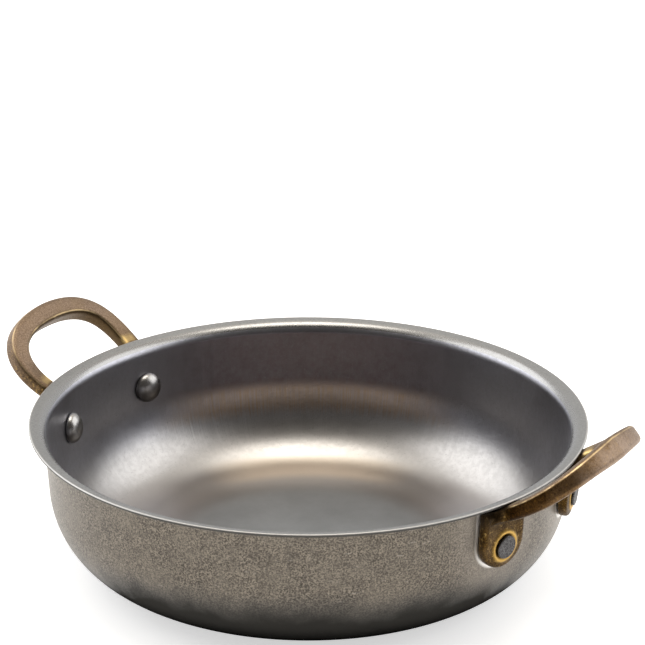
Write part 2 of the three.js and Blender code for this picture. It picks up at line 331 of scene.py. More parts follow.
def sleeves(cells, last):
    """Faces that join the two faces of the sheet round the open cells of the outer one."""
    quads = []
    for i, j in sorted(cells):
        beyond = [(i - 1, j), (i, (j + 1) % SIDES), (i + 1, j), (i, (j - 1) % SIDES)]
        corners = cell_corners(i, j)
        for k, cell in enumerate(beyond):
            if cell not in cells:
                (a, b), (c, d) = corners[k], corners[(k + 1) % 4]
                quads.append((vertex(c, d), vertex(last - c, d), vertex(last - a, b), vertex(a, b)))
    return quads


def dish_body():
    """One skin round the sheet. Its materials are the outside, the lip and the inside, in this order."""
    outer, inner = face(0), face(SHEET)
    rows = outer[1:] + edge_round() + inner[:0:-1]
    half, last = len(outer) - 1, len(rows) - 1
    points = [p for r, z in rows for p in circle(r, z, SIDES)]
    axes = hole_axes()
    gone = open_cells(rows, points, axes)
    cells = [(i, j) for i in range(last) for j in range(SIDES) if (i, j) not in gone]
    faces = [tuple(vertex(*c) for c in cell_corners(*cell)) for cell in cells]
    zones = [i for i, j in cells]
    bottom, floor = len(points), len(points) + 1
    points += [UP * outer[0][1], UP * inner[0][1]]
    for j in range(SIDES):
        faces += [(bottom, vertex(0, j + 1), j), (floor, vertex(last, j), vertex(last, j + 1))]
        zones += [0, last]
    joints = sleeves({cell for cell in gone if cell[0] < half}, last)
    faces += joints
    zones += [0] * len(joints)
    for k in {k for quad in joints for k in quad}:
        axis = min(axes, key=lambda a: (points[k] - a[0]).length)
        off = from_axis(points[k], axis)
        points[k] = points[k] - off + off.normalized() * HOLE_RADIUS
    obj = make("dish_body_steel", points, faces)
    lip_end = half + EDGE_STEPS + FLANGE_STEPS + ROLL_STEPS // 2
    for polygon, zone in zip(obj.data.polygons, zones):
        polygon.material_index = 0 if zone < half else (1 if zone < lip_end else 2)
    return obj


# Handle: a bar lofted along its stations, joined to two pads and their rivet collars

PAD_FRONT = CLEARANCE + PAD_THICKNESS


def leg_stations(seat):
    """Places and backs up the pad, from the rivet to the start of the bend."""
    foot = seat.point + seat.out * (CLEARANCE + PAD_THICKNESS / 2)
    rise = TAIL_RADIUS + BEND_ABOVE_TAIL
    return [(foot + seat.up * (rise * i / LEG_STEPS), -seat.out) for i in range(LEG_STEPS + 1)]


def bend_stations(seat, start, turn):
    """Places and backs round the bend away from the wall."""
    out = []
    for i in range(1, BEND_STEPS + 1):
        a = turn * i / BEND_STEPS
        place = start + seat.out * (LEG_BEND * (1 - math.cos(a))) + seat.up * (LEG_BEND * math.sin(a))
        out.append((place, seat.up * math.sin(a) - seat.out * math.cos(a)))
    return out


def loop_stations(root, root_back, heading):
    """Places and backs along one half of the loop, which curls up towards its tip."""
    tip = root + LOOP_AXIS * LOOP_REACH
    tip.y = 0
    controls = (root, root + heading * LOOP_SHOULDER, tip + ACROSS * LOOP_TIP_PULL, tip)
    back = LOOP_AXIS.cross(ACROSS)
    out = []
    for i in range(1, LOOP_STEPS + 1):
        t = i / LOOP_STEPS
        weights = ((1 - t) ** 3, 3 * t * (1 - t) ** 2, 3 * t * t * (1 - t), t ** 3)
        place = sum((c * w for c, w in zip(controls, weights)), Vector())
        reached = (place - root).dot(LOOP_AXIS) / LOOP_REACH
        place = place + back * (LOOP_CURL * reached ** 2)
        curl = math.atan(2 * LOOP_CURL * reached / LOOP_REACH)
        curled = back * math.cos(curl) - LOOP_AXIS * math.sin(curl)
        out.append((place, root_back.lerp(curled, smoothstep(t, 0, 1))))
    return out


def half_bar(seat):
    """Place, back, width, thickness and edge radius along the bar, from a pad to the tip."""
    splay = math.atan(math.tan(seat.bearing) * math.cos(LOOP_SLOPE))
    heading = LOOP_AXIS * math.cos(splay) + ACROSS * math.sin(splay)
    leg = leg_stations(seat)
    bend = bend_stations(seat, leg[-1][0], seat.up.angle(heading))
    every = leg + bend + loop_stations(*bend[-1], heading)
    lengths = [0.0]
    for a, b in zip(every, every[1:]):
        lengths.append(lengths[-1] + (b[0] - a[0]).length)
    bend_start = lengths[len(leg) - 1]
    leg_top = bend_start + LEG_TAPER
    out = []
    for (place, back), length in zip(every, lengths):
        taper = smoothstep(length, bend_start, leg_top)
        growth = max((length - leg_top) / (lengths[-1] - leg_top), 0.0) ** SWELL_POWER
        width = lerp(lerp(PAD_WIDTH - 2 * LEG_INSET, LEG_WIDTH, taper), TIP_WIDTH, growth)
        thick = lerp(lerp(PAD_THICKNESS - 2 * LEG_INSET, LEG_THICKNESS, taper), TIP_THICKNESS, growth)
        out.append((place, back, width, thick, lerp(PAD_EDGE, BAR_EDGE, taper)))
    return out


def section(station, heading):
    """A ring with round corners, square to the bar's heading."""
    place, back, width, thick, edge = station
    back = (back - heading * back.dot(heading)).normalized()
    aside = back.cross(heading)
    edge = min(edge, LARGEST_EDGE_SHARE * min(width, thick))
    ring = []
    for corner in range(4):
        middle = QUARTER * (corner + 0.5)
        x = math.copysign(width / 2 - edge, math.cos(middle))
        y = math.copysign(thick / 2 - edge, math.sin(middle))
        for i in range(BAR_EDGE_STEPS + 1):
            a = QUARTER * (corner + i / BAR_EDGE_STEPS)
            ring.append(place + aside * (x + edge * math.cos(a)) + back * (y + edge * math.sin(a)))
    return ring


def bar():
    """The whole bar, from pad to pad."""
    half = half_bar(SEATS[1])
    flip = Matrix.Diagonal((1, -1, 1))
    every = half + [(flip @ place, flip @ back, *sizes) for place, back, *sizes in half[-2::-1]]
    rings = []
    for i, station in enumerate(every):
        before = every[max(i - 1, 0)][0]
        after = every[min(i + 1, len(every) - 1)][0]
        rings.append(section(station, (after - before).normalized()))
    return loft(rings)


def pad(seat):
    """A blank pad, round at the foot and at its front edge, that reaches into the wall until it is cut."""
    top = (NECK_HEIGHT - RIVET_HEIGHT) / math.cos(WALL_LEAN) + PAD_ABOVE_NECK
    half = PAD_WIDTH / 2
    middle = half - PAD_BELOW_RIVET

    def outline(inset, w):
        r, high = half - inset, top - inset
        turns = [math.pi * (1 + i / PAD_FOOT_STEPS) for i in range(PAD_FOOT_STEPS + 1)]
        low = [(r * math.cos(a), middle + r * math.sin(a)) for a in turns]
        side = [lerp(middle, high, i / PAD_SIDE_STEPS) for i in range(1, PAD_SIDE_STEPS + 1)]
        right = [(r, v) for v in side]
        left = [(-r, v) for v in reversed(side)]
        return [seat.place(u, v, w) for u, v in low + right + left]

    rings = [outline(0, CLEARANCE - PAD_SINK)]
    for i in range(PAD_EDGE_STEPS + 1):
        a = QUARTER * i / PAD_EDGE_STEPS
        rings.append(outline(PAD_EDGE * (1 - math.cos(a)), PAD_FRONT - PAD_EDGE * (1 - math.sin(a))))
    return loft(rings)


def collar(seat):
    """The brass that was pushed up in a bead round the rivet's tail."""
    n, m = COLLAR_SIDES, BEAD_SIDES
    points, faces = [], []
    for a in angles(n):
        for b in angles(m):
            r = COLLAR_RADIUS + BEAD_RADIUS * math.cos(b)
            w = PAD_FRONT - COLLAR_SINK + BEAD_RADIUS * math.sin(b)
            points.append(seat.place(r * math.cos(a), r * math.sin(a), w))
    for i in range(n):
        for j in range(m):
            p, q = (i + 1) % n, (j + 1) % m
            faces.append((i * m + j, p * m + j, p * m + q, i * m + q))
    return points, faces


def dish_room():
    """The dish with its clearance, closed at the top, for cutting what seats on its outside."""
    edge = RIM_RADIUS + CLEARANCE
    profile = face(-CLEARANCE)[1:] + [(edge, RIM_UNDERSIDE), (edge, DISH_HEIGHT + ROOM_OVER)]
    return loft([circle(r, z, ROOM_SIDES) for r, z in profile])


def drill(seat):
    """A cutter for a rivet's hole through a pad."""
    return loft([seat.ring(HOLE_RADIUS, w, DRILL_SIDES) for w in (-DRILL_OVER, PAD_FRONT + DRILL_OVER)])


def remesh(obj):
    modifier = obj.modifiers.new("remesh", "REMESH")
    modifier.mode = "VOXEL"
    modifier.voxel_size = VOXEL * MM


def soften(obj, rounds):
    modifier = obj.modifiers.new("soften", "SMOOTH")
    modifier.factor = SOFT_SHARE
    modifier.iterations = rounds


def cut(obj, cutter):
    modifier = obj.modifiers.new("cut", "BOOLEAN")
    modifier.operation = "DIFFERENCE"
    modifier.solver = "EXACT"
    modifier.object = cutter


def cast_handle():
    """One casting's mesh: bar, pads and collars grown together, cut to the wall, drilled and softened."""
    seats = SEATS.values()
    blank = make("blank", *joined([bar()] + [pad(s) for s in seats] + [collar(s) for s in seats]))
    room = make("room", *dish_room())
    holes = make("holes", *joined([drill(s) for s in seats]))
    remesh(blank)
    soften(blank, BLANK_ROUNDS)
    cut(blank, room)
    cut(blank, holes)
    remesh(blank)
    soften(blank, CAST_ROUNDS)
    graph = bpy.context.evaluated_depsgraph_get()
    mesh = bpy.data.meshes.new_from_object(blank.evaluated_get(graph))
    mesh.name = "cast_handle"
    for obj in (blank, room, holes):
        used = obj.data
        bpy.data.objects.remove(obj)
        bpy.data.meshes.remove(used)
    return mesh


# Marks on the casting, stored for its material: collars, sides and edges

LOOP_MIDDLE = Vector((RIM_RADIUS + 1.0, 0, DISH_HEIGHT + 1.5))
COLLAR_GLOW_RADIUS = COLLAR_RADIUS - 0.1
COLLAR_GLOW_WIDTH = 0.55
COLLAR_GLOW_FROM = CLEARANCE + PAD_THICKNESS * 0.6
SIDE_ROUNDS = 3
LEG_SHADE_ROUNDS = 30
EDGE_ROUNDS = 10
EDGE_EASE_ROUNDS = 2
EDGE_REACH = 0.22
TINY = 1e-6


def vertex_places(mesh):
    """Places of a mesh's vertices, in millimetres."""
    places = np.empty(len(mesh.vertices) * 3)
    mesh.vertices.foreach_get("co", places)
    return places.reshape(-1, 3) / MM


def vertex_normals(mesh):
    normals = np.empty(len(mesh.vertices) * 3)
    mesh.vertex_normals.foreach_get("vector", normals)
    return normals.reshape(-1, 3)


def mesh_edges(mesh):
    edges = np.empty(len(mesh.edges) * 2, dtype=np.int32)
    mesh.edges.foreach_get("vertices", edges)
    return edges.reshape(-1, 2)


def store(mesh, name, values):
    layer = mesh.attributes.new(name, "FLOAT", "POINT")
    layer.data.foreach_set("value", values.astype(np.float32))


def spread(values, edges, rounds):
    """Values smoothed over the mesh."""
    size = np.maximum(np.bincount(edges.ravel(), minlength=len(values)), 1)
    if values.ndim > 1:
        size = size[:, None]
    for _ in range(rounds):
        total = np.zeros_like(values)
        np.add.at(total, edges[:, 0], values[edges[:, 1]])
        np.add.at(total, edges[:, 1], values[edges[:, 0]])
        values = 0.5 * values + 0.5 * total / size
    return values


def mark_collar(mesh):
    """Stores nearness to a rivet's collar as 'collar', 1 on the bead and 0 away from it."""
    places = vertex_places(mesh)
    near = np.zeros(len(places))
    for seat in SEATS.values():
        q = places - np.array(seat.point)
        w = q @ np.array(seat.out)
        r = np.sqrt(np.maximum((q ** 2).sum(1) - w ** 2, 0))
        ring = np.exp(-((r - COLLAR_GLOW_RADIUS) / COLLAR_GLOW_WIDTH) ** 2)
        near = np.maximum(near, np.where(w > COLLAR_GLOW_FROM, ring, 0))
    store(mesh, "collar", near)


def mark_sides(mesh):
    """Stores how far each point faces the middle of the loop as 'inner', its top as 'top', and the outer side
    of the leg at -Y, where shade is painted, as 'aged'."""
    places, normals, edges = vertex_places(mesh), vertex_normals(mesh), mesh_edges(mesh)
    level = np.array(LOOP_AXIS.cross(ACROSS))
    middle = np.array(LOOP_MIDDLE) - places
    middle -= np.outer(middle @ level, level)
    middle /= np.maximum(np.linalg.norm(middle, axis=1), TINY)[:, None]
    inner = (normals * middle).sum(1)
    store(mesh, "inner", spread(inner, edges, SIDE_ROUNDS))
    store(mesh, "top", spread(normals @ level, edges, SIDE_ROUNDS))
    store(mesh, "shaded_leg", spread(np.where(places[:, 1] < 0, -inner, 0), edges, LEG_SHADE_ROUNDS))


def mark_edges(mesh):
    """Stores how far each point stands out of its surroundings as 'edge', from -1 to 1."""
    places, edges = vertex_places(mesh), mesh_edges(mesh)
    stand = ((places - spread(places, edges, EDGE_ROUNDS)) * vertex_normals(mesh)).sum(1)
    store(mesh, "edge", np.clip(spread(stand, edges, EDGE_EASE_ROUNDS) / EDGE_REACH, -1, 1))


# Rivets: the head inside the dish, the tail on the pad

WALL_INSIDE = RIVET_WALL_RADIUS - SHEET
WALL_SAG = WALL_INSIDE - math.sqrt(WALL_INSIDE ** 2 - HEAD_RADIUS ** 2)
HEAD_SEAT = -SHEET - WALL_SAG - CLEARANCE
TAIL_SEAT = 2 * CLEARANCE + PAD_THICKNESS
TAIL_TOP = TAIL_SEAT + TAIL_HEIGHT


def rivet_profile():
    """Radius and place along the axis, from the dome of the head to the middle of the tail."""
    out = []
    for i in range(1, DOME_STEPS + 1):
        a = QUARTER * i / DOME_STEPS
        out.append((HEAD_RADIUS * math.sin(a), HEAD_SEAT - HEAD_HEIGHT * math.cos(a)))
    out += [(HEAD_RADIUS - HEAD_CHAMFER, HEAD_SEAT + HEAD_RIM), (SHANK_RADIUS, HEAD_SEAT + HEAD_RIM)]
    out += [(SHANK_RADIUS, TAIL_SEAT), (TAIL_RADIUS - TAIL_CHAMFER, TAIL_SEAT)]
    for i in range(TAIL_EDGE_STEPS + 1):
        a = QUARTER * i / TAIL_EDGE_STEPS
        out.append((TAIL_RADIUS - TAIL_EDGE * (1 - math.cos(a)), TAIL_TOP - TAIL_EDGE * (1 - math.sin(a))))
    out += [((TAIL_RADIUS - TAIL_EDGE) * (1 - i / TAIL_STEPS), TAIL_TOP) for i in range(1, TAIL_STEPS)]
    return out


def rivet(seat, turn, name):
    """One rivet. Its materials are the head and the tail, in this order."""

    def dent(u, v):
        across = math.sin(DENT_TURN_ACROSS * u + DENT_SHIFT * seat.bearing)
        return DENT_DEPTH * abs(across * math.cos(DENT_TURN_UP * v + turn))

    def at(u, v, w):
        if w > TAIL_TOP - DENT_ZONE:
            w -= dent(u, v)
        return turned(seat.place(u, v, w), turn)

    rings = []
    for r, w in rivet_profile():
        rings.append([at(r * math.cos(a), r * math.sin(a), w) for a in angles(RIVET_SIDES)])
    ends = [seat.place(0, 0, HEAD_SEAT - HEAD_HEIGHT), seat.place(0, 0, TAIL_TOP - TAIL_HOLLOW)]
    obj = make(name, *loft(rings, [turned(p, turn) for p in ends]))
    middle, out = turned(seat.point, turn) * MM, turned(seat.out, turn)
    for polygon in obj.data.polygons:
        polygon.material_index = 0 if (polygon.center - middle).dot(out) < 0 else 1
    return obj


# Materials: noises have cells to the metre, all other lengths are in millimetres

class Paint:
    """A node material with a Principled shader."""

    def __init__(self, name, **values):
        self.material = bpy.data.materials.new(name)
        self.material.use_nodes = True
        self.tree = self.material.node_tree
        self.shader = self.tree.nodes["Principled BSDF"]
        self.where = self.add("ShaderNodeTexCoord").outputs["Object"]
        for key, value in values.items():
            self.set(key.replace("_", " "), value)

    def add(self, kind, **settings):
        node = self.tree.nodes.new(kind)
        for key, value in settings.items():
            setattr(node, key, value)
        return node

    def put(self, socket, value):
        if isinstance(value, bpy.types.NodeSocket):
            self.tree.links.new(value, socket)
        elif socket.type == "RGBA" and len(value) == 3:
            socket.default_value = (*value, 1)
        else:
            socket.default_value = value

    def set(self, name, value):
        self.put(self.shader.inputs[name], value)

    def noise(self, scale, detail, rough, where=None):
        node = self.add("ShaderNodeTexNoise")
        self.put(node.inputs["Vector"], where or self.where)
        node.inputs["Scale"].default_value = scale
        node.inputs["Detail"].default_value = detail
        node.inputs["Roughness"].default_value = rough
        return node.outputs["Fac"]

    def streaks(self, around, up, out, detail, rough):
        """Noise over the angle, the height and the radius, each times its own number."""
        x = self.times(self.angle(), around)
        y = self.times(self.height(), up)
        z = self.times(self.radius(), out)
        return self.noise(1.0, detail, rough, self.vector(x, y, z))

    def cells(self, scale):
        node = self.add("ShaderNodeTexVoronoi")
        self.put(node.inputs["Vector"], self.where)
        node.inputs["Scale"].default_value = scale
        return node.outputs["Distance"]

    def span(self, value, lo, hi, to_lo=0.0, to_hi=1.0):
        """A soft step from one value to another."""
        node = self.add("ShaderNodeMapRange", interpolation_type="SMOOTHSTEP")
        self.put(node.inputs["Value"], value)
        for key, number in (("From Min", lo), ("From Max", hi), ("To Min", to_lo), ("To Max", to_hi)):
            node.inputs[key].default_value = number
        return node.outputs["Result"]

    def fade(self, value, lo, hi):
        return self.span(value, lo, hi, 1.0, 0.0)

    def between(self, value, start, full, end, gone):
        return self.times(self.span(value, start, full), self.fade(value, end, gone))

    def calc(self, kind, a, b=None):
        node = self.add("ShaderNodeMath", operation=kind)
        self.put(node.inputs[0], a)
        if b is not None:
            self.put(node.inputs[1], b)
        return node.outputs["Value"]

    def times(self, first, *others):
        for other in others:
            first = self.calc("MULTIPLY", first, other)
        return first

    def plus(self, a, b):
        return self.calc("ADD", a, b)

    def minus(self, a, b):
        return self.calc("SUBTRACT", a, b)

    def length(self, a, b):
        return self.calc("SQRT", self.plus(self.times(a, a), self.times(b, b)))

    def mix(self, share, a, b, blend="MIX"):
        node = self.add("ShaderNodeMix", data_type="RGBA", blend_type=blend)
        self.put(node.inputs["Factor"], share)
        self.put(node.inputs[6], a)
        self.put(node.inputs[7], b)
        return node.outputs[2]

    def stretch(self, scale, turn):
        node = self.add("ShaderNodeMapping")
        self.put(node.inputs["Vector"], self.where)
        node.inputs["Scale"].default_value = scale
        node.inputs["Rotation"].default_value = turn
        return node.outputs["Vector"]

    def axes(self):
        node = self.add("ShaderNodeSeparateXYZ")
        self.put(node.inputs[0], self.where)
        return node.outputs

    def radius(self):
        """Distance of a point from the dish's upright axis."""
        axes = self.axes()
        return self.times(self.length(axes["X"], axes["Y"]), 1 / MM)

    def height(self):
        return self.times(self.axes()["Z"], 1 / MM)

    def angle(self):
        """Bearing of a point about the dish's upright axis, in radians."""
        axes = self.axes()
        return self.calc("ARCTAN2", axes["Y"], axes["X"])

    def vector(self, x, y, z):
        node = self.add("ShaderNodeCombineXYZ")
        for socket, value in zip(node.inputs, (x, y, z)):
            self.put(socket, value)
        return node.outputs[0]

    def attribute(self, name):
        return self.add("ShaderNodeAttribute", attribute_name=name).outputs["Fac"]

    def bump(self, height, distance, strength, under=None):
        node = self.add("ShaderNodeBump")
        self.put(node.inputs["Height"], height)
        node.inputs["Distance"].default_value = distance * MM
        node.inputs["Strength"].default_value = strength
        if under is not None:
            self.put(node.inputs["Normal"], under)
        return node.outputs["Normal"]


PAINTED_SIDE_ANGLE = math.radians(122.6)


def facing_painted_side(p):
    """1 on the side of the dish where shade and reflections are painted, -1 on the opposite side."""
    return p.calc("COSINE", p.minus(p.angle(), PAINTED_SIDE_ANGLE))


def pad_distance(p):
    """How far a point of the wall is from the outline of the nearest pad."""
    turn = p.calc("ABSOLUTE", p.angle())
    turn = p.calc("MINIMUM", turn, p.minus(math.pi, turn))
    u = p.times(p.minus(turn, SEATS[1].bearing), RIVET_WALL_RADIUS)
    foot_middle = RIVET_HEIGHT + PAD_WIDTH / 2 - PAD_BELOW_RIVET
    v = p.calc("MINIMUM", p.minus(p.height(), foot_middle), 0.0)
    return p.minus(p.length(u, v), PAD_WIDTH / 2)


# Outside finish: heights, and distances from the pads
# The first four place a painted shade that darkens the outside towards its base
BASE_SHADE_EDGE = (12.0, 23.5)
BASE_SHADE_DEPTH = (2.5, 11.5)
BASE_SHADE_WAVE = 1.5
BASE_SHADE_DROP = 10.0
PAD_GLOW = (0.0, 12.0)
PAD_HALO = (0.3, 1.2)


def tumbled_steel():
    """The outside: matt steel, finely speckled by tumbling and clouded, with painted shade darkening it
    towards the base.
    """
    p = Paint("tumbled_steel", Coat_Roughness=0.36)
    pit, speck, grey = (0.026, 0.020, 0.015), (0.268, 0.229, 0.180), (0.113, 0.096, 0.076)
    smudge, haze = (0.070, 0.058, 0.047), (0.184, 0.160, 0.127)
    painted_shade_colour, thin_shade_colour = (0.009, 0.009, 0.009), (0.062, 0.060, 0.056)
    scraped, pad_light_colour, pale_line_colour = (0.5, 0.47, 0.43), (0.36, 0.32, 0.275), (0.80, 0.785, 0.76)
    fleck, grain = p.noise(2100, 3, 0.6), p.noise(5200, 2, 0.5)
    cloud, blotch = p.noise(85, 5, 0.62), p.noise(420, 3, 0.6)
    scratch = p.noise(260, 2, 0.5, p.stretch((1, 1, 14), (0.5, 0.3, 0.2)))
    height, distance = p.height(), pad_distance(p)
    colour = p.mix(p.span(fleck, 0.35, 0.66), pit, speck)
    colour = p.mix(p.span(grain, 0.35, 0.65, 0.0, 0.35), colour, grey)
    colour = p.mix(p.span(blotch, 0.40, 0.66, 0.0, 0.4), colour, smudge)
    colour = p.mix(p.span(cloud, 0.38, 0.66, 0.0, 0.4), colour, haze)
    # Painted shade: the outside turns near black towards the base, higher up on the side opposite the painted
    # inside wall, and stops being metal there
    drop = p.span(facing_painted_side(p), -0.9, -0.35, 0.0, BASE_SHADE_DROP)
    wave = p.span(cloud, 0.3, 0.7, -BASE_SHADE_WAVE, BASE_SHADE_WAVE)
    base_shade = p.fade(p.plus(p.plus(height, drop), wave), *BASE_SHADE_EDGE)
    colour = p.mix(base_shade, colour, p.mix(p.span(height, *BASE_SHADE_DEPTH), painted_shade_colour, thin_shade_colour))
    unshaded = p.minus(1.0, base_shade)
    colour = p.mix(p.times(p.span(scratch, 0.71, 0.74, 0.0, 0.45), unshaded), colour, scraped)
    # Painted light: the wall is lighter round each pad
    colour = p.mix(p.span(distance, *PAD_GLOW, 0.4, 0.0), colour, pad_light_colour)
    # A pale, less rough line along the edge of each pad
    halo = p.span(distance, *PAD_HALO, 0.9, 0.0)
    p.set("Base Color", p.mix(halo, colour, pale_line_colour))
    p.set("Metallic", unshaded)
    p.set("Specular IOR Level", p.times(unshaded, 0.5))
    p.set("Coat Weight", p.times(unshaded, 0.55))
    p.set("Roughness", p.minus(p.span(fleck, 0.3, 0.7, 0.60, 0.46), p.times(halo, 0.1)))
    p.set("Normal", p.bump(p.plus(fleck, grain), 0.04, 0.5))
    return p.material


# Lip finish: radii and heights
LIP_WORN = (RIM_RADIUS - 0.7, RIM_RADIUS - 0.3)
LIP_EDGE_SHADOW = (RIM_RADIUS - 0.4, RIM_RADIUS - 0.2)
LIP_EDGE_SHADOW_TOP = (DISH_HEIGHT - 0.5, DISH_HEIGHT - 0.2)
LIP_ROLL_END = (RIM_RADIUS - 3.5, RIM_RADIUS - 2.1)


def lip_steel():
    """The lip: ground flat, finely matt, worn a little brighter along its edge, with a painted shadow under
    that edge.
    """
    p = Paint("lip_steel")
    dark, light, ground = (0.274, 0.275, 0.276), (0.336, 0.337, 0.338), (0.29, 0.29, 0.287)
    worn, under_edge_shadow_colour, rolled = (0.66, 0.65, 0.63), (0.035, 0.032, 0.028), (0.34, 0.336, 0.332)
    radius = p.radius()
    lines = p.noise(6, 3, 0.6, p.vector(p.times(p.angle(), 2.0), p.times(radius, 0.4), 0.0))
    grain = p.noise(1700, 3, 0.6)
    colour = p.mix(p.span(grain, 0.35, 0.65), dark, light)
    colour = p.mix(p.span(lines, 0.3, 0.7, 0.0, 0.3), colour, ground)
    colour = p.mix(p.times(p.span(radius, *LIP_WORN), 0.7), colour, worn)
    # Painted shadow: a dark line on the lower part of the lip's cut edge
    under_edge_shadow = p.times(p.span(radius, *LIP_EDGE_SHADOW), p.span(p.height(), *LIP_EDGE_SHADOW_TOP, 0.92, 0.0))
    colour = p.mix(under_edge_shadow, colour, under_edge_shadow_colour)
    roll = p.fade(radius, *LIP_ROLL_END)
    p.set("Base Color", p.mix(p.times(roll, 0.8), colour, rolled))
    p.set("Metallic", p.span(roll, 0.0, 1.0, 0.88, 0.95))
    p.set("Roughness", p.minus(p.span(grain, 0.3, 0.7, 0.52, 0.42), p.times(roll, 0.21)))
    p.set("Normal", p.bump(grain, 0.03, 0.4))
    return p.material


# Inside finish: radii of the floor and the corner, heights up the wall
FLOOR_END = (34.0, 47.0)
WARM_REFLECTION_RING = (45.5, 52.5, 58.0, 63.0)
GRAINY_FROM = (59.0, 64.0)
DRAWN_FROM = (60.0, 72.0)
COOL_FROM = (9.0, 19.0)
REFLECTION_BAND = (12.0, 16.5, 20.5, 25.0)
REFLECTION_BAND_WAVE = 0.8
WALL_SHADE = (19.5, 24.0, 38.6, 40.2)


def satin_steel():
    """The inside: satin steel, drawn up the wall, with a matt floor, and painted shade and warm reflections
    on one side.
    """
    p = Paint("satin_steel")
    cool, pale_cool = (0.412, 0.412, 0.452), (0.442, 0.442, 0.482)
    warm, pale_warm = (0.425, 0.412, 0.404), (0.455, 0.441, 0.432)
    matt, pale_matt, dull_matt = (0.382, 0.397, 0.410), (0.427, 0.442, 0.457), (0.28, 0.29, 0.30)
    tan, wall_shade_colour, reflection_tint = (0.66, 0.585, 0.50), (0.152, 0.116, 0.114), (1.0, 0.73, 0.46)
    shade, dot = (0.25, 0.245, 0.24), (0.24, 0.235, 0.23)
    streak = p.streaks(around=34.0, up=0.014, out=0.009, detail=3, rough=0.6)
    hair = p.streaks(around=260.0, up=0.06, out=0.06, detail=2, rough=0.5)
    band_streaks = p.streaks(around=110.0, up=0.06, out=0.0, detail=4, rough=0.62)
    cloud, mottle = p.noise(48, 4, 0.6), p.noise(620, 4, 0.65)
    grain, patchy = p.noise(1500, 3, 0.6), p.noise(260, 5, 0.7)
    radius, height, facing = p.radius(), p.height(), facing_painted_side(p)
    pale = p.span(cloud, 0.3, 0.7)
    colour = p.mix(p.span(height, *COOL_FROM), p.mix(pale, warm, pale_warm), p.mix(pale, cool, pale_cool))
    floor = p.fade(radius, *FLOOR_END)
    floor_colour = p.mix(p.span(patchy, 0.30, 0.70, 0.0, 0.20), p.mix(pale, matt, pale_matt), dull_matt)
    colour = p.mix(floor, colour, floor_colour)
    # Painted reflection: a warm ring at the edge of the floor, on one side only
    ring = p.between(radius, *WARM_REFLECTION_RING)
    colour = p.mix(p.times(ring, p.span(facing, 0.80, 0.97)), colour, tan)
    # Painted shade: a dark, warm sector high on the wall, on one side only
    wall_shade = p.times(p.between(height, *WALL_SHADE), p.span(facing, 0.6, 0.97))
    wall_shade = p.times(wall_shade, p.span(patchy, 0.34, 0.66, 0.885, 0.955))
    colour = p.mix(wall_shade, colour, wall_shade_colour)
    # Painted reflection: a streaky warm band across the lower wall, on one side only
    ragged = p.plus(height, p.span(band_streaks, 0.25, 0.75, -REFLECTION_BAND_WAVE, REFLECTION_BAND_WAVE))
    reflection_band = p.times(p.between(ragged, *REFLECTION_BAND), p.span(facing, 0.72, 0.94))
    reflection_band = p.times(reflection_band, p.span(band_streaks, 0.30, 0.70, 0.55, 1.0))
    colour = p.mix(reflection_band, colour, reflection_tint, "MULTIPLY")
    grainy = p.span(radius, *GRAINY_FROM)
    colour = p.mix(p.times(p.span(mottle, 0.35, 0.65, 0.0, 0.16), grainy), colour, shade)
    dots = p.times(p.span(grain, 0.28, 0.42, 0.38, 0.0), p.span(grainy, 0.0, 1.0, 0.25, 1.0))
    p.set("Base Color", p.mix(dots, colour, dot))
    p.set("Metallic", p.span(floor, 0.0, 1.0, 1.0, 0.89))
    rough = p.times(p.span(mottle, 0.35, 0.65, 0.0, 0.05), grainy)
    rough = p.plus(rough, p.span(cloud, 0.3, 0.7, 0.30, 0.33))
    p.set("Roughness", p.plus(p.plus(rough, p.times(ring, 0.05)), p.times(floor, 0.08)))
    marks = p.times(p.plus(streak, p.times(hair, 0.25)), p.span(radius, *DRAWN_FROM))
    drawn = p.bump(marks, 0.4, 0.15)
    pits = p.bump(p.times(mottle, grainy), 0.01, 0.2, drawn)
    p.set("Normal", p.bump(p.times(grain, grainy), 0.02, 0.2, pits))
    return p.material


# Handle finish: radii from the dish's axis along the bar, and heights under the lip
PALE_FROM = (79.0, 96.0)
PALE_WAVE = 2.0
TOP_LIGHT_LIFT = 7.0
TIP_FROM = (94.0, 100.0)
LOOP_FROM = (79.5, 83.0)
COARSE_TO = (90.0, 98.5)
LEG_SHADE_TO = (95.5, 99.0)
LEG_DEEP_SHADE_TO = (89.5, 94.5)
WORN_AND_HIGHLIT = (80.3, 81.2, 81.8, 84.0)
CREASE_SHADE_TO = (80.0, 83.0)
UNDER_LIP_SHADOW_FROM = (32.5, 38.5)
UNDER_LIP_SHADOW_TO = (78.5, 81.0)


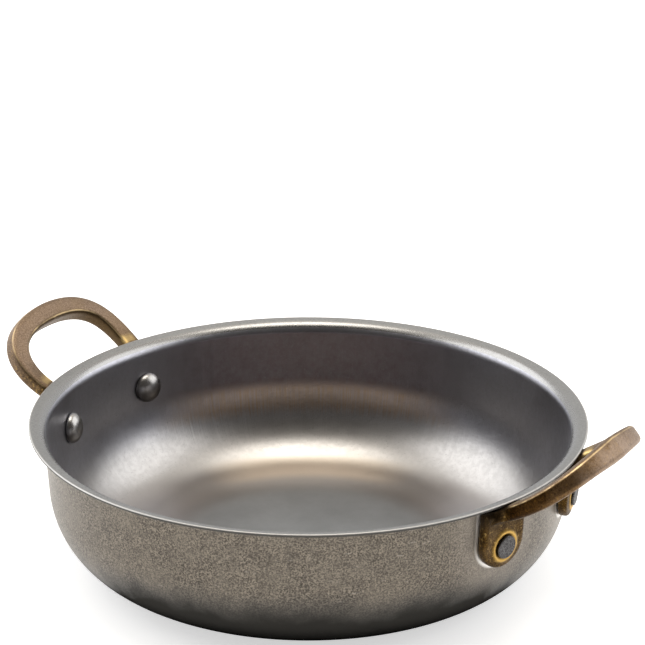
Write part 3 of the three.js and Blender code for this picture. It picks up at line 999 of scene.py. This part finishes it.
def aged_brass():
    """The handles: grainy cast brass, dark at the pads, pale tan at the tip, gold where worn, with painted
    highlights and shade.
    """
    p = Paint("aged_brass", Metallic=1.0)
    brown, tan_brown, painted_shade_colour = (0.015, 0.008, 0.002), (0.106, 0.057, 0.012), (0.020, 0.013, 0.007)
    bronze, tan = (0.160, 0.109, 0.074), (0.290, 0.210, 0.149)
    pink, olive = (0.42, 0.325, 0.262), (0.22, 0.15, 0.085)
    dark_fleck, gold_fleck, shade = (0.035, 0.020, 0.009), (0.47, 0.31, 0.115), (0.075, 0.047, 0.020)
    leg_shade_tint, leg_deep_shade_tint, crease_shade_colour = (0.62, 0.52, 0.36), (0.42, 0.36, 0.25), (0.030, 0.018, 0.008)
    wear_highlight_gold, yellow, gold = (0.88, 0.64, 0.26), (0.80, 0.60, 0.33), (0.78, 0.50, 0.14)
    grain, fleck = p.noise(2600, 4, 0.65), p.noise(1350, 3, 0.6)
    cloud, pit = p.noise(150, 4, 0.6), p.cells(1500)
    edge, inner, top = p.attribute("edge"), p.attribute("inner"), p.attribute("top")
    radius = p.radius()
    reach = p.plus(radius, p.span(cloud, 0.2, 0.8, -PALE_WAVE, PALE_WAVE))
    # Painted light: faces turned upwards reach the pale tan sooner, so the tops are lighter
    reach = p.plus(reach, p.span(top, 0.4, 0.8, 0.0, TOP_LIGHT_LIFT))
    loop = p.span(radius, *LOOP_FROM)
    light = p.span(grain, 0.34, 0.66)
    colour = p.mix(p.span(reach, *PALE_FROM), p.mix(light, brown, tan_brown), p.mix(light, bronze, tan))
    colour = p.mix(p.times(p.span(reach, *TIP_FROM, 0.0, 0.6), p.fade(top, 0.3, 0.75)), colour, pink)
    colour = p.mix(p.span(cloud, 0.35, 0.68, 0.0, 0.3), colour, olive)
    coarse = p.times(p.span(reach, *COARSE_TO, 1.0, 0.5), p.span(top, 0.3, 0.75, 1.0, 0.2))
    colour = p.mix(p.times(p.span(fleck, 0.32, 0.46, 0.55, 0.0), coarse), colour, dark_fleck)
    colour = p.mix(p.times(p.span(fleck, 0.56, 0.70, 0.0, 0.62), coarse), colour, gold_fleck)
    colour = p.mix(p.times(p.span(inner, 0.25, 0.75, 0.0, 0.8), loop), colour, shade)
    # Painted shade: the outer side of the leg at -Y is darkened along the loop, most towards the pad and
    # least at the tip
    shaded_leg = p.times(p.span(p.attribute("shaded_leg"), 0.3, 0.75), loop, p.span(reach, *LEG_SHADE_TO, 1.0, 0.25))
    colour = p.mix(shaded_leg, colour, leg_shade_tint, "MULTIPLY")
    colour = p.mix(p.times(shaded_leg, p.fade(reach, *LEG_DEEP_SHADE_TO)), colour, leg_deep_shade_tint, "MULTIPLY")
    # Where the legs meet the lip, faces turned up are worn bright and carry a painted highlight
    worn_and_highlit = p.times(p.between(radius, *WORN_AND_HIGHLIT), p.span(top, 0.1, 0.5), p.span(inner, -0.1, 0.4))
    colour = p.mix(p.times(worn_and_highlit, 0.7), colour, wear_highlight_gold)
    # Painted shade: creases near the root of the loop are darkened
    crease_shade = p.times(p.span(edge, -1.0, -0.5, 0.6, 0.0), p.fade(radius, *CREASE_SHADE_TO))
    colour = p.mix(crease_shade, colour, crease_shade_colour)
    # Painted highlight: a pale band along the loop's shoulders, which the next mask joins to the real edge
    # wear
    flank = p.span(p.calc("ABSOLUTE", inner), 0.3, 0.55)
    shoulder_highlight = p.times(p.between(top, 0.50, 0.64, 0.70, 0.84), flank, loop)
    shoulder_highlight = p.times(shoulder_highlight, p.span(cloud, 0.35, 0.65, 0.15, 0.75))
    patchy_edge = p.plus(edge, p.span(grain, 0.3, 0.7, -0.25, 0.25))
    worn = p.calc("MAXIMUM", p.span(patchy_edge, 0.45, 0.95, 0.0, 0.8), shoulder_highlight)
    colour = p.mix(worn, colour, yellow)
    colour = p.mix(p.times(p.attribute("collar"), p.span(cloud, 0.2, 0.7, 1.0, 0.55)), colour, gold)
    # Painted shadow: the brass under the lip is darkened
    under_lip_shadow = p.times(p.span(p.height(), *UNDER_LIP_SHADOW_FROM), p.fade(radius, *UNDER_LIP_SHADOW_TO))
    p.set("Base Color", p.mix(p.times(under_lip_shadow, 0.85), colour, painted_shade_colour))
    p.set("Roughness", p.minus(p.span(grain, 0.3, 0.7, 0.58, 0.42), p.times(worn, 0.15)))
    lumps = p.bump(cloud, 0.4, 0.15)
    grains = p.bump(grain, 0.06, 0.6, lumps)
    p.set("Normal", p.bump(p.span(pit, 0.0, 0.35), 0.03, 0.4, grains))
    return p.material


# Rivet finish: the heights over which a head's painted shade fades out
HEAD_SHADE = (RIVET_HEIGHT - 1.0, RIVET_HEIGHT + 1.8)


def head_steel():
    """The rivets' domed heads: bright steel, with painted shade making their lower half dark and rougher."""
    p = Paint("head_steel", Metallic=1.0)
    dark, light, lower_shade_colour = (0.36, 0.35, 0.34), (0.42, 0.41, 0.40), (0.125, 0.110, 0.100)
    grain, cloud = p.noise(1800, 3, 0.6), p.noise(300, 3, 0.6)
    # Painted shade: the lower half of each head is darker
    low = p.span(p.height(), *HEAD_SHADE, 0.85, 0.0)
    p.set("Base Color", p.mix(low, p.mix(p.span(grain, 0.35, 0.65), dark, light), lower_shade_colour))
    p.set("Roughness", p.plus(p.span(cloud, 0.3, 0.7, 0.27, 0.31), p.times(low, 0.12)))
    p.set("Normal", p.bump(grain, 0.015, 0.2))
    return p.material


def tail_steel():
    """The rivets' hammered tails: grey and grainy."""
    p = Paint("tail_steel", Metallic=1.0)
    dark, light = (0.045, 0.043, 0.044), (0.150, 0.146, 0.148)
    grain = p.noise(2400, 4, 0.7)
    p.set("Base Color", p.mix(p.span(grain, 0.34, 0.66), dark, light))
    p.set("Roughness", p.span(grain, 0.3, 0.7, 0.6, 0.42))
    p.set("Normal", p.bump(grain, 0.08, 0.6, p.bump(p.cells(900), 0.1, 0.4)))
    return p.material


# Assembly

body = dish_body()
for material in (tumbled_steel(), lip_steel(), satin_steel()):
    body.data.materials.append(material)
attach(body, "root")
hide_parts("dish_body")

casting = cast_handle()
mark_collar(casting)
mark_sides(casting)
mark_edges(casting)
casting.shade_smooth()
casting.materials.clear()
casting.materials.append(aged_brass())
heads, tails = head_steel(), tail_steel()
for side_name, turn in TURNS.items():
    mesh = casting.copy()
    mesh.transform(Matrix.Rotation(turn, 4, "Z"))
    handle = link(f"{side_name}_handle_brass", mesh)
    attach(handle, "root")
    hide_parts(f"{side_name}_handle")
    for side, seat in SEATS.items():
        end = "back" if side * math.cos(turn) > 0 else "front"
        node = f"{side_name}_handle_{end}_rivet"
        piece = rivet(seat, turn, f"{node}_steel")
        piece.data.materials.append(heads)
        piece.data.materials.append(tails)
        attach(piece, "root")
        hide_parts(node)
bpy.data.meshes.remove(casting)


# Camera, at the photograph's viewing angle: lengths in metres, focal length and image in pixels

IMAGE = 645.0
FOCAL = 2450.5
SENSOR = 36.0
CLIP_START = 0.01
CLIP_END = 50.0
AZIMUTH = math.radians(32.628)
ELEVATION = math.radians(24.389)
ROLL = math.radians(0.146)
DISTANCE = 0.71242
CENTRE = Vector((0, 0, 0.021))
CENTRE_AT = (308.965, 482.407)

AWAY = Vector((-math.sin(AZIMUTH), math.cos(AZIMUTH), 0))
RIGHT = Vector((math.cos(AZIMUTH), math.sin(AZIMUTH), 0))


def aim_camera():
    """Puts the camera at its distance and turns it so that the centre falls on its place in the image."""
    toward = UP * math.sin(ELEVATION) - AWAY * math.cos(ELEVATION)
    eye = CENTRE + toward * DISTANCE
    yaw = math.atan((CENTRE_AT[0] - IMAGE / 2) / FOCAL)
    pitch = math.atan(-(CENTRE_AT[1] - IMAGE / 2) / FOCAL * math.cos(yaw))
    swing = Matrix.Rotation(yaw / math.cos(ELEVATION), 3, "Z")
    toward, aside = swing @ toward, swing @ RIGHT
    toward = toward * math.cos(pitch) + toward.cross(aside) * math.sin(pitch)
    aside = aside * math.cos(ROLL) + toward.cross(aside) * math.sin(ROLL)
    lens = bpy.data.cameras.new("camera")
    lens.sensor_width = SENSOR
    lens.lens = FOCAL * SENSOR / IMAGE
    lens.clip_start = CLIP_START
    lens.clip_end = CLIP_END
    camera = link("camera", lens)
    axes = Matrix((aside, toward.cross(aside), toward)).transposed()
    camera.matrix_world = Matrix.Translation(eye) @ axes.to_4x4()
    bpy.context.scene.camera = camera


aim_camera()


# Light: softboxes overhead and at both sides, in metres, a pale backdrop and a dark room towards the camera

WARM_LIGHT = (1.0, 0.95, 0.86)
COOL_LIGHT = (0.98, 0.99, 1.0)
BACKDROP = (
    (0.0, (0.84, 0.85, 0.86)),
    (0.45, (0.88, 0.87, 0.85)),
    (0.80, (0.95, 0.90, 0.83)),
    (0.97, (0.80, 0.75, 0.68)),
)
BACKDROP_SHARE = ((-0.45, (0, 0, 0)), (-0.05, (1, 1, 1)))
CAMERA_SIDE = (0.085, 0.078, 0.072, 1)


def softbox(name, shape, azimuth, elevation, distance, size, radiance, colour):
    """An area lamp seen from the dish at an azimuth, 0 away from the camera and 90 to its right."""
    a, e = math.radians(azimuth), math.radians(elevation)
    flat = AWAY * math.cos(a) + RIGHT * math.sin(a)
    spot = (flat * math.cos(e) + UP * math.sin(e)) * distance
    lamp = bpy.data.lights.new(name, "AREA")
    lamp.shape = shape
    lamp.size, lamp.size_y = size
    area = size[0] * size[1] * (math.pi / 4 if shape == "ELLIPSE" else 1)
    lamp.energy = radiance * math.pi * area
    lamp.color = colour
    obj = link(name, lamp)
    obj.location = spot
    obj.rotation_euler = (-spot).to_track_quat("-Z", "Y").to_euler()


softbox("top", "ELLIPSE", azimuth=15, elevation=85, distance=2.2, size=(1.35, 1.35), radiance=3.6,
        colour=WARM_LIGHT)
softbox("left_side", "RECTANGLE", azimuth=-68, elevation=36, distance=2.0, size=(1.9, 1.5), radiance=1.85,
        colour=COOL_LIGHT)
softbox("right_side", "RECTANGLE", azimuth=78, elevation=33, distance=2.0, size=(1.8, 1.5), radiance=1.45,
        colour=COOL_LIGHT)


class Room:
    """The studio round the dish, as colours by direction."""

    def __init__(self):
        world = bpy.data.worlds.new("studio")
        bpy.context.scene.world = world
        world.use_nodes = True
        self.nodes, self.links = world.node_tree.nodes, world.node_tree.links
        self.direction = self.nodes.new("ShaderNodeTexCoord").outputs["Generated"]

    def along(self, axis):
        dot = self.nodes.new("ShaderNodeVectorMath")
        dot.operation = "DOT_PRODUCT"
        self.links.new(self.direction, dot.inputs[0])
        dot.inputs[1].default_value = axis
        return dot.outputs["Value"]

    def ramp(self, value, lo, hi, stops):
        span = self.nodes.new("ShaderNodeMapRange")
        self.links.new(value, span.inputs["Value"])
        span.inputs["From Min"].default_value = lo
        span.inputs["From Max"].default_value = hi
        node = self.nodes.new("ShaderNodeValToRGB")
        node.color_ramp.interpolation = "EASE"
        self.links.new(span.outputs["Result"], node.inputs["Fac"])
        while len(node.color_ramp.elements) < len(stops):
            node.color_ramp.elements.new(0.5)
        for element, (place, colour) in zip(node.color_ramp.elements, stops):
            element.position = (place - lo) / (hi - lo)
            element.color = (*colour, 1)
        return node.outputs["Color"]

    def paint(self):
        backdrop = self.ramp(self.along(UP), 0.0, 1.0, BACKDROP)
        share = self.ramp(self.along(AWAY), -1.0, 1.0, BACKDROP_SHARE)
        mix = self.nodes.new("ShaderNodeMix")
        mix.data_type = "RGBA"
        self.links.new(share, mix.inputs["Factor"])
        mix.inputs[6].default_value = CAMERA_SIDE
        self.links.new(backdrop, mix.inputs[7])
        self.links.new(mix.outputs[2], self.nodes["Background"].inputs["Color"])


Room().paint()


# Floor: pale and matt, lifted to white for the camera and in reflections

FLOOR_RINGS = (60, 120, 200, 320, 500, 800, 1400, 2600, 6000)
FLOOR_SIDES = 96
FLOOR_LIFT = (60, 400, 0.60, 0.36)


def floor_disc():
    n = FLOOR_SIDES
    points = [Vector()] + [p for r in FLOOR_RINGS for p in circle(r, 0, n)]
    faces = [(0, 1 + j, 1 + (j + 1) % n) for j in range(n)]
    faces += [tuple(1 + i for i in reversed(f)) for f in tube(len(FLOOR_RINGS), n)]
    return make("floor", points, faces)


def floor_white():
    p = Paint("floor_white", Roughness=0.9, Specular_IOR_Level=0.0, Emission_Color=(1.0, 1.0, 1.0))
    p.set("Base Color", p.mix(p.noise(14, 3, 0.5), (0.90, 0.90, 0.90), (0.92, 0.92, 0.92)))
    rays = p.add("ShaderNodeLightPath").outputs
    mirrored = p.calc("MAXIMUM", rays["Is Glossy Ray"], rays["Is Transmission Ray"])
    seen = p.calc("MAXIMUM", rays["Is Camera Ray"], mirrored)
    p.set("Emission Strength", p.times(seen, p.span(p.radius(), *FLOOR_LIFT)))
    return p.material


ground = floor_disc()
ground.data.materials.append(floor_white())

bpy.context.scene.view_settings.view_transform = "Standard"
